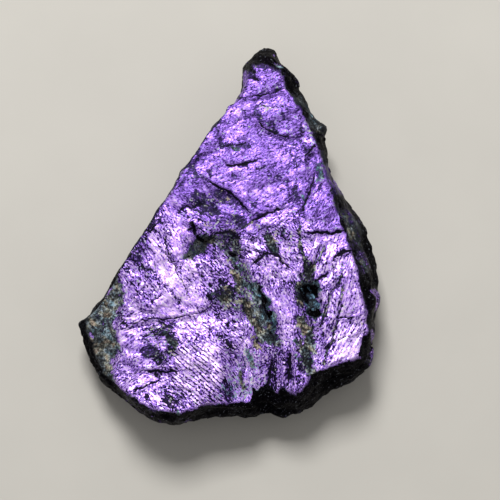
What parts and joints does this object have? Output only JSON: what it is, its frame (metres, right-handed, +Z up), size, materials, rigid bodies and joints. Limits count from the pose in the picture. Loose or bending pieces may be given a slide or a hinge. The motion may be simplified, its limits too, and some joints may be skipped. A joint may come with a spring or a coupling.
{
  "type": "purpurite hand specimen",
  "caption": "Natural broken slab of purple purpurite, pear-shaped, with a stepped and creased cleavage face on top, crusted broken walls and a small flat spot to rest on.",
  "frame": {"origin": "middle of the bounding box, at the level of the surface the stone rests on", "axes": "+Y towards the narrow tip, +X to the right of it, +Z up, out of the purple cleavage face"},
  "size_m": [0.036, 0.046, 0.0094],
  "materials": {
    "purple_stone": "satin, half-metallic cleavage sheen with dull grey and black crust"
  },
  "bodies": {
    "root": {"purpurite": "purple_stone"}
  },
  "joints": []
}
